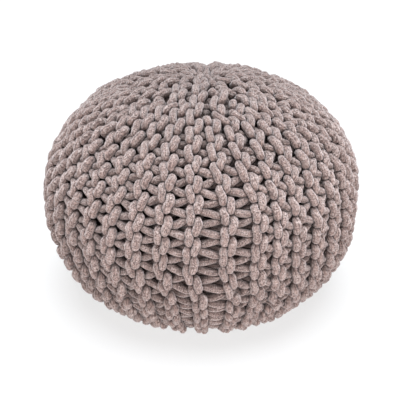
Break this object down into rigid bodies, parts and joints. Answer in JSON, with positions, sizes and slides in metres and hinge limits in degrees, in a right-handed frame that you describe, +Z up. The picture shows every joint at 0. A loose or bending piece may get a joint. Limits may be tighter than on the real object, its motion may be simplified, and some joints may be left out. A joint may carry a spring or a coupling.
{
  "type": "knitted pouf",
  "caption": "Round filled floor pouf in a chunky garter-stitch cord cover: raised ridges run from a small gather in the middle of the top, over the belly, to a flat underside.",
  "frame": {"origin": "on the floor, in the middle of the flat underside", "axes": "+Z up, the axis that the ridges run around; -Y towards the viewer of the front, +X to the right"},
  "size_m": [0.508, 0.508, 0.3556],
  "materials": {
    "knitted_cord": "matt heathered taupe cotton cord, thick and soft, knitted in garter stitch"
  },
  "bodies": {
    "root": {"knitted_pouf": "knitted_cord"}
  },
  "joints": []
}
